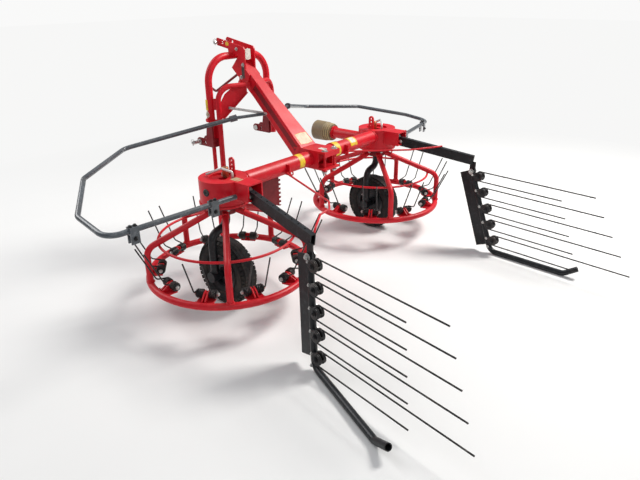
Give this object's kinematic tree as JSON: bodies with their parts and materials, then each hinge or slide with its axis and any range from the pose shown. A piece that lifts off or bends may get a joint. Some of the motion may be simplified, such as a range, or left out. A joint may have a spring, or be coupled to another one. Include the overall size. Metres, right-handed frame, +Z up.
{
  "type": "twin rotor hay rake",
  "caption": "Mounted rotary hay rake: two tined rotors under hoods, cross tube, sloping beam, hitch hoop, guard tubes and tined gates behind.",
  "frame": {"origin": "centre of the bounding box on the ground", "axes": "+X forward toward the tractor, +Y to the machine's left, +Z up"},
  "size_m": [2.6011, 2.9499, 1.35],
  "materials": {
    "red_paint": "weathered gloss red paint, scuffed and dusty",
    "dark_red_paint": "darker worn red paint",
    "black_paint": "satin black paint, scratched",
    "spring_steel": "black spring wire, worn at the tips",
    "grey_tube": "satin grey paint, scuffed",
    "steel": "bright zinc plated steel",
    "tan_plastic": "sun bleached tan plastic",
    "tyre": "black rubber, dusty"
  },
  "bodies": {
    "frame": {"hoop": "red_paint", "inner_tube_left": "red_paint", "inner_tube_right": "red_paint", "corner_gusset_left": "red_paint", "corner_gusset_right": "red_paint", "clevis_left": "dark_red_paint", "clevis_right": "dark_red_paint", "hitch_pin_left": "steel", "hitch_pin_right": "steel", "head_plates": "red_paint", "top_link_pin": "steel", "shaft_hook": "dark_red_paint", "main_beam": "red_paint", "beam_foot": "red_paint", "cross_tube": "red_paint", "hood_left": "red_paint", "hood_right": "red_paint", "adjuster_left": "red_paint", "adjuster_right": "red_paint", "side_shield": "dark_red_paint", "drive_housing": "red_paint", "cone_guard": "tan_plastic", "guard_left": "grey_tube", "guard_right": "grey_tube", "brace_left": "red_paint", "brace_right": "red_paint", "gate_arm_left": "black_paint", "gate_arm_right": "black_paint", "wheel_leg_left": "black_paint", "wheel_leg_right": "black_paint"},
    "rotor_left": {"hub_left": "dark_red_paint", "spokes_left": "red_paint", "ring_left": "red_paint", "tines_left": "spring_steel"},
    "rotor_right": {"hub_right": "dark_red_paint", "spokes_right": "red_paint", "ring_right": "red_paint", "tines_right": "spring_steel"},
    "drive_input": {"input_shaft": "steel"},
    "wheel_left": {"rim_left": "black_paint", "tyre_left": "tyre"},
    "wheel_right": {"rim_right": "black_paint", "tyre_right": "tyre"},
    "gate_left": {"gate_frame_left": "black_paint", "gate_tines_left": "spring_steel"},
    "gate_right": {"gate_frame_right": "black_paint", "gate_tines_right": "spring_steel"},
    "parking_stand": {"parking_leg": "red_paint"}
  },
  "joints": [
    {"name": "drive_input_spin", "type": "hinge", "parent": "frame", "child": "drive_input", "pos_m": [0.858, -0.72, 0.643], "axis": [1, 0, 0], "continuous": true},
    {"name": "rotor_left_spin", "type": "hinge", "parent": "frame", "child": "rotor_left", "pos_m": [0.458, 0.72, 0.55], "axis": [0, 0, 1], "continuous": true},
    {"name": "rotor_right_spin", "type": "hinge", "parent": "frame", "child": "rotor_right", "pos_m": [0.458, -0.72, 0.55], "axis": [0, 0, 1], "continuous": true},
    {"name": "wheel_left_roll", "type": "hinge", "parent": "frame", "child": "wheel_left", "pos_m": [0.458, 0.742, 0.191], "axis": [0, 1, 0], "continuous": true},
    {"name": "wheel_right_roll", "type": "hinge", "parent": "frame", "child": "wheel_right", "pos_m": [0.458, -0.698, 0.191], "axis": [0, 1, 0], "continuous": true},
    {"name": "gate_left_tilt", "type": "hinge", "parent": "frame", "child": "gate_left", "pos_m": [-0.23872, 0.8357, 0.519], "axis": [0.1822, 0.9833, 0], "range_deg": [0, 25]},
    {"name": "gate_right_tilt", "type": "hinge", "parent": "frame", "child": "gate_right", "pos_m": [-0.242, -0.818, 0.519], "axis": [0.1045, 0.9945, 0], "range_deg": [0, 25]},
    {"name": "parking_leg_slide", "type": "slide", "parent": "frame", "child": "parking_stand", "axis": [0, 0, 1], "range_m": [0, 0.2]}
  ],
  "couplings": [
    {"joint": "rotor_right_spin", "follows": "rotor_left_spin", "ratio": -1},
    {"joint": "drive_input_spin", "follows": "rotor_left_spin", "ratio": 3}
  ]
}
